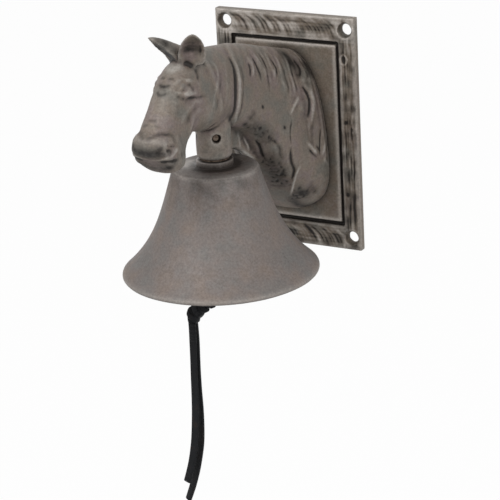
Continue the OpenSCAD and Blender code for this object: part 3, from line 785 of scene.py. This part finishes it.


# ---- horse ----

# What is modelled on the head and neck. Each row gives a mark's width from its middle to its foot, how far it
# rises, how pale (to 1) or dark (to -1) it is painted, and its lines; the paleness is the finish on some marks
# and painted light and shade on others, as their names and comments say. The left side mirrors the right, but
# for the ears.
NECK = {
    # A painted highlight on the locks of the mane
    "locks of the mane": (2.6, 0.75, 0.15, [
        [(10, -77, 72), (11, -74, 67), (13, -74, 63), (14, -77, 58)],
        [(9, -67, 72), (11, -65, 67), (13, -62, 60), (15, -61, 55)],
        [(8, -52, 70), (10, -51, 66), (13, -52, 61), (15, -51, 56), (16, -51, 51), (17, -56, 47)],
        [(9, -44, 67), (11, -41, 63), (14, -41, 58), (16, -43, 53), (17, -44, 49), (19, -44, 43), (20, -45, 37)],
        [(9, -31, 64), (13, -30, 60), (15, -31, 56), (17, -33, 50), (20, -33, 44), (21, -34, 39), (22, -36, 34)],
        [(11, -22, 60), (15, -22, 56), (18, -23, 52), (19, -25, 47)],
        [(12, -18, 60), (15, -16, 55), (18, -15, 50), (20, -17, 45), (23, -22, 41)],
        [(12, -7, 57), (16, -7, 53), (19, -8, 48), (22, -10, 43), (24, -13, 39)],
    ]),
    "between the locks": (1.8, -0.6, -0.2, [
        [(11, -77, 69), (12, -77, 64), (13, -80, 59)],
        [(10, -70, 70), (13, -69, 64), (14, -67, 58), (15, -68, 53)],
        [(8, -59, 71), (12, -58, 66), (14, -58, 60), (16, -59, 55), (17, -60, 48), (17, -61, 43)],
        [(9, -48, 68), (12, -48, 63), (15, -46, 57), (17, -49, 53), (17, -53, 48)],
        [(11, -37, 64), (14, -38, 59), (17, -39, 54), (19, -40, 49), (20, -40, 42), (21, -42, 36)],
        [(11, -28, 62), (15, -28, 57), (18, -30, 52), (20, -31, 46), (22, -31, 41), (23, -32, 35)],
        [(12, -21, 59), (17, -21, 54), (19, -20, 49), (21, -24, 44)],
        [(14, -14, 56), (18, -14, 52), (20, -14, 48), (23, -15, 42)],
        [(16, -8, 52), (21, -6, 44), (23, -7, 39)],
    ]),
    "hollow of the great lock": (1.9, -1, -0.6, [
        [(22, -25, 39), (24, -23, 37), (25, -21, 32), (26, -21, 27), (27, -23, 22), (27, -26, 17)],
    ]),
    "great lock": (2.6, 0.85, 0.3, [
        [(23, -22, 39), (24, -17, 35), (26, -17, 31), (27, -17, 26), (28, -20, 20), (28, -23, 14), (27, -27, 9)],
    ]),
    "edge of the lobe": (1.8, 0.7, 0.4, [[(24, -31, 34), (23, -36, 30), (23, -40, 27), (22, -43, 23)]]),
    "lobe": (4.6, 0.8, -0.25, [[(24, -28, 31), (25, -29, 26), (26, -32, 22)]]),
    "neck's side": (1.5, 0.35, 0, [[(27, -25, 17), (27, -26, 10), (28, -26, 4), (28, -26, 0)]]),
    # A painted highlight on the lower lock
    "lower lock": (2, 0.6, 0.4, [[(27, -30, 1), (29, -26, -4), (30, -23, -8), (30, -20, -10)]]),
    "under the lower lock": (1.4, -0.35, -0.3, [
        [(28, -29, -4), (29, -26, -8), (30, -21, -13)],
        [(30, -22, -4), (31, -17, -9)],
    ]),
    # Painted highlights along the outer lock and its tip
    "outer lock": (1.8, 0.55, 0.4, [[(31, -7, 3), (31, -10, -4), (32, -13, -9), (31, -16, -14)]]),
    "outer lock's tip": (1.5, 0.4, 0.3, [[(32, -15, -15), (32, -10, -20), (32, -7, -23)]]),
    "beside the outer lock": (1, -0.6, -0.4, [[(30, -14, 7), (31, -16, 0), (31, -17, -6), (31, -18, -12)]]),
    "long groove of the neck": (1.8, -0.8, -0.55, [
        [(23, -45, 2), (23, -45, -4), (22, -43, -11), (22, -40, -17), (20, -38, -22), (18, -37, -26)],
    ]),
    "faint start of that groove": (1.2, -0.4, -0.25, [[(23, -42, 20), (23, -45, 12), (23, -45, 2)]]),
    # A painted highlight along the slanting ridge
    "slanting ridge": (1.2, 0.7, 0.7, [
        [(25, -36, -15), (22, -37, -20), (20, -37, -26), (16, -33, -33), (12, -29, -41)],
    ]),
    "front lock's edge": (2, -0.45, -0.35, [
        [(17, -66, 14), (18, -62, 10), (19, -58, 7), (19, -54, 2), (19, -52, -4), (19, -49, -8)],
        [(18, -45, -15), (16, -45, -18), (14, -42, -24)],
    ]),
    "pit in the neck": (1.6, -0.5, -0.9, [[(22, -51, 17), (22, -50, 16)], [(17, -72, 37), (18, -71, 36)]]),
    "blotches under the throat": (2.6, -0.2, -0.6, [
        [(16, -83, 36), (16, -81, 34)],
        [(15, -86, 33), (15, -83, 31)],
        [(11, -88, 29), (11, -85, 27)],
    ]),
    "ridge down the web": (1.2, 0.5, 0.6, [[(4, -78, 17), (3, -72, 9), (3, -69, 3)]]),
    # Painted shade in the web's corner with the neck, over a groove
    "web's corner with the neck": (1.4, -0.8, -1, [[(10, -72, 13), (10, -66, 6), (9, -62, 0), (9, -58, -5)]]),
    "web's front edge": (1.2, 0, 0.9, [
        [(5, -85, 22), (3, -81, 14), (3, -80, 8)],
        [(3, -78, 6), (3, -71, 1), (3, -64, -4), (4, -59, -6)],
    ]),
    "boss's socket": (3.1, -0.8, -0.6, [[(2, -113, 24), (9, -118, 29)]]),
    "mane, in shade": (7, 0, -0.8, [
        [(10, -36, 65), (11, -29, 62), (15, -26, 57), (18, -23, 50), (22, -22, 44)],
    ]),
    "crest, in shade": (5, 0, -0.6, [[(15, -12, 55), (19, -11, 48), (23, -11, 40)]]),
    "swirl at the neck's foot": (3, -0.3, -0.25, [
        [(21, -32, -30), (20, -29, -36), (19, -25, -42)],
        [(27, -25, -29), (27, -23, -36), (28, -17, -42)],
    ]),
    # Painted shade on the side of the neck's foot and under it
    "side of the neck's foot": (4.5, 0, -0.35, [[(20, -27, -38), (26, -21, -38)]]),
    "under the neck's foot": (6, 0, -0.85, [
        [(10, -29, -41), (12, -22, -49), (14, -17, -52), (21, -8, -51), (26, -9, -46)],
    ]),
    "broad shade on the neck's side": (13, 0, -0.2, [[(25, -29, 27), (27, -26, 10), (29, -24, -8)]]),
}
FACE = {
    # A painted highlight on the forehead
    "forehead, painted highlight": (4.6, 0, 0.8, [[(-6, -151, 85), (0, -156, 84), (4, -159, 82)]]),
    "marks under the forelock": (1.5, 0, -0.6, [
        [(1, -164, 79), (5, -162, 79)],
        [(-4, -168, 75), (1, -168, 75), (5, -166, 76)],
        [(-2, -172, 70), (1, -172, 70), (4, -170, 72)],
    ]),
    # Painted shade in the temple, over shallow grooves
    "temple": (2.4, -0.25, -0.55, [
        [(5, -150, 87), (8, -148, 86), (10, -147, 83)],
        [(8, -141, 85), (10, -137, 84), (11, -132, 82)],
    ]),
    "hollow over the eye": (2.6, -0.6, -0.25, [[(10, -145, 82), (12, -145, 78), (13, -147, 74)]]),
    "upper lid": (1.8, 0.4, 0.05, [
        [(6, -166, 75), (7, -163, 77), (9, -158, 78), (12, -155, 76), (13, -152, 72)],
    ]),
    "eyeball": (2.6, 0.6, -0.4, [[(9, -162, 75), (11, -160, 74)]]),
    "slit of the eye": (1.3, -0.2, -0.25, [[(7, -167, 73), (10, -164, 72), (12, -161, 72), (13, -157, 72)]]),
    "ridge under the eye": (2, 0.35, 0.3, [[(7, -168, 72), (10, -164, 71), (13, -160, 69), (14, -150, 68)]]),
    "crease under the eye": (1.8, -0.35, -0.5, [[(9, -168, 70), (11, -165, 68), (12, -162, 67)]]),
    "bony crest of the face": (2.4, 0.4, 0.1, [
        [(14, -152, 64), (13, -156, 61), (12, -162, 58), (12, -167, 54), (12, -170, 50)],
    ]),
    "behind the bony crest": (2.8, -0.25, -0.2, [
        [(15, -150, 61), (14, -155, 57), (13, -159, 54), (12, -164, 50)],
    ]),
    "under the bony crest": (2.4, -0.25, -0.1, [[(10, -168, 65), (11, -170, 60), (11, -174, 55)]]),
    "cheek strap": (1.8, 0.3, 0.2, [
        [(9, -127, 83), (11, -122, 79), (12, -121, 75), (14, -123, 70), (15, -129, 64), (16, -133, 57),
         (16, -138, 51)],
    ]),
    "behind the cheek strap": (1.8, -0.25, -0.2, [
        [(12, -118, 75), (14, -119, 68), (16, -125, 61), (16, -129, 53), (15, -133, 47)],
    ]),
    "throat band": (2, 0.25, 0.05, [
        [(10, -110, 78), (12, -110, 72), (14, -113, 63), (15, -116, 54), (14, -121, 44)],
    ]),
    "before the throat strap": (2, -1, -0.65, [
        [(8, -99, 78), (11, -98, 73), (13, -99, 67), (15, -102, 58), (15, -104, 49), (14, -105, 42),
         (12, -109, 35)],
    ]),
    "throat strap": (2, 0.45, 0.25, [
        [(10, -96, 76), (13, -95, 69), (15, -97, 62), (16, -100, 53), (16, -102, 46), (14, -103, 40),
         (4, -93, 27)],
    ]),
    "behind the throat strap": (1.8, -0.3, -0.2, [
        [(11, -88, 70), (13, -89, 63), (15, -94, 53), (15, -96, 45), (13, -97, 36)],
    ]),
    "under the jaw": (1.5, -0.4, -0.9, [[(6, -136, 37), (6, -129, 36), (9, -127, 38), (11, -123, 40)]]),
    "nose marks": (1.4, 0, -0.45, [
        [(-4, -184, 56), (0, -184, 57), (4, -184, 57)],
        [(-7, -185, 53), (-2, -186, 54)],
    ]),
    # Painted shadow over the pad, with a shallow groove
    "over the pad": (2.4, -0.35, -0.45, [
        [(-5, -191, 50), (2, -193, 48), (6, -190, 50), (10, -185, 49), (12, -181, 47), (14, -181, 44),
         (14, -182, 40)],
    ]),
    "pad": (3.2, 0.5, -0.1, [[(-4, -195, 44), (2, -194, 46), (9, -193, 46), (13, -188, 44)]]),
    # A painted glint on the pad
    "pad, painted glint": (1.8, 0, 0.3, [[(11, -191, 45), (12, -187, 42)]]),
    "pad's far end": (2.4, 0, -0.4, [[(-11, -192, 44), (-10, -193, 40)]]),
    # Painted shade under the pad, with a slight hollow
    "under the pad": (5.4, -0.2, -0.75, [[(-6, -193, 38), (1, -193, 38), (8, -193, 39), (13, -190, 39)]]),
    "nostril": (1.6, -0.7, -0.8, [[(13, -191, 40), (14, -188, 40), (14, -186, 38)]]),
    "upper lip's edge": (1, 0.25, 0.4, [[(-1, -189, 32), (6, -190, 33), (12, -190, 35), (14, -185, 36)]]),
    "mouth": (1.5, -0.6, -1, [[(6, -188, 31), (12, -189, 32), (15, -185, 32), (14, -178, 31)]]),
    "corner of the mouth": (1.7, 0.45, 0.5, [[(14, -187, 35), (15, -184, 37), (14, -179, 39)]]),
    "lower lip": (1.8, 0.3, 0, [[(-3, -186, 28), (4, -185, 27), (11, -186, 29), (14, -181, 28)]]),
    "throat, in shade": (6, 0, -0.3, [[(14, -123, 46), (14, -112, 43), (13, -101, 38)]]),
    # Painted shade on the chin and the muzzle's underside
    "chin": (6, 0, -0.65, [[(-5, -183, 25), (1, -183, 25), (8, -184, 26), (13, -182, 27)]]),
    "muzzle's underside": (6, 0, -0.4, [[(-4, -191, 34), (4, -191, 34), (12, -189, 34)]]),
    "forehead, dark under the forelock": (4.5, 0, -0.3, [[(0, -166, 78), (0, -171, 72)]]),
    "behind that crease": (1.5, -0.3, -0.35, [[(12, -162, 67), (14, -153, 65), (15, -140, 63)]]),
    # Painted shade on the side of the chin and of the muzzle
    "side of the chin": (4.6, 0, -0.55, [[(8, -186, 27), (13, -184, 29), (14, -180, 31)]]),
    "side of the muzzle": (3.4, 0, -0.5, [[(13, -191, 38), (14, -186, 38)]]),
}
EARS = {
    "inside of the near ear": (3.6, 0, -0.4, [
        [(15, -156, 104), (11, -151, 98), (10, -149, 93)],
        [(9, -154, 100), (7, -151, 93)],
        [(15, -150, 100), (13, -147, 93)],
    ]),
    "lip of the near ear": (2.4, 0, -0.15, [[(5, -151, 91), (9, -149, 90), (14, -146, 91)]]),
    "rim of the near ear": (1, 0, -0.6, [[(18, -150, 100), (16, -146, 95), (15, -146, 91)]]),
    "slit of the far ear": (1.5, 0, -0.9, [[(-20, -150, 99), (-18, -148, 96), (-15, -144, 92)]]),
    "root of the far ear": (1.8, 0, -0.8, [[(-14, -142, 89), (-11, -143, 89), (-3, -151, 91)]]),
    "far ear": (6, 0, -0.45, [
        [(-8, -139, 88), (-12, -145, 95), (-16, -150, 101)],
        [(-14, -156, 102), (-9, -154, 99), (-5, -152, 94)],
        [(-10, -152, 102), (-5, -149, 97)],
    ]),
}
# Where the coat is rough, in short dents, and painted with broad shade: how wide, and along which line
COAT = {
    "under the throat": (8, [(8, -87, 26), (12, -82, 25), (15, -74, 21), (17, -66, 13), (19, -58, 7)]),
    "front of the neck": (10, [(14, -62, 3), (12, -53, -10), (10, -43, -24), (8, -33, -37)]),
    "foot of the neck": (8, [(11, -31, -39), (18, -26, -40), (25, -21, -39)]),
}


def model_horse(skin):
    """The hair, tack and features over the smoothed casting, and the tone of its finish and of the light and shade
    painted on it. Every line is laid on the surface first."""
    surface = skin.tree()
    height, tone, coat = np.zeros((3, len(skin.at)))

    def mark(points, width, sides=(-1, 1)):
        both = []
        for side in sides:
            line = smooth_line([(side * x, y, z) for x, y, z in points], 1.2)
            both.append(stroke(skin, np.array(onto(surface, line)), width))
        return np.max(both, axis=0)

    for table, sides in ((NECK, (-1, 1)), (FACE, (-1, 1)), (EARS, (1,))):
        for width, rise, shade, lines in table.values():
            for line in lines:
                made = mark(line, width, sides)
                height += rise * made
                tone += shade * made
    # Finer hair between each two locks
    locks = NECK["locks of the mane"][3]
    for one, other in zip(locks, locks[1:]):
        for part in (0.33, 0.67):
            between = [[a + (b - a) * part for a, b in zip(*pair)] for pair in zip(one, other)]
            made = mark(between, 1.5)
            height += 0.4 * made
            tone -= 0.15 * made
    for width, line in COAT.values():
        coat = np.maximum(coat, mark(line, width))
    # The rough coat's dents are about 2.5 mm across
    dents = np.clip(lumpy(skin.at, 2.2, 11, (1, 1, 1.5)) - 0.02, 0, 1) * coat
    height -= 0.8 * dents
    # The rough coat is painted shade as a whole, under the throat and on the front and foot of the neck, and is
    # darker still in its dents
    tone -= 0.62 * coat + 0.45 * dents
    # The whole skin is a little uneven
    height += 0.14 * lumpy(skin.at, 7, 12) + 0.07 * lumpy(skin.at, 2.5, 13)
    return height, tone


def make_head():
    # The ears' rims are too thin for the skin's quads
    mesh = solid_copy("horse_head", 0.81, lambda p: 0.5 * min(max((p.z - 87) / 4, 0), 1) * (p.y < -125))
    skin = Skin(mesh)
    x, y, z = skin.at.T
    radial = np.hypot(x, y + REACH)
    # The seat on the plate, the boss's bore and its turning face keep their shape
    free = np.clip((-8 - y) / 4, 0, 1)
    free[(radial < 9) & (z < 40)] = 0
    free[(radial < 13) & (z < 12.5)] = 0
    # The locks are laid on a smooth neck, the face keeps its bones, and the thin ears are smoothed least
    skin.soften(6, free * np.where((z > 88) & (y < -125), 0.5, 1))
    skin.soften(24, free * np.clip((y + 96) / 10, 0, 1) * np.clip((-14 - y) / 4, 0, 1))
    height, tone = model_horse(skin)
    skin.raise_by(height * free)
    skin.soften(1, free)
    skin.relief(0.6)
    skin.keep("tone", tone)
    piece = show(mesh, "horse_head_casting", HEAD_IRON)
    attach(piece, "mount")
    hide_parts("horse_head")


set_camera()
finish_the_hardware()
hang_the_pull()
set_studio()
make_bell()
make_plate()
make_head()
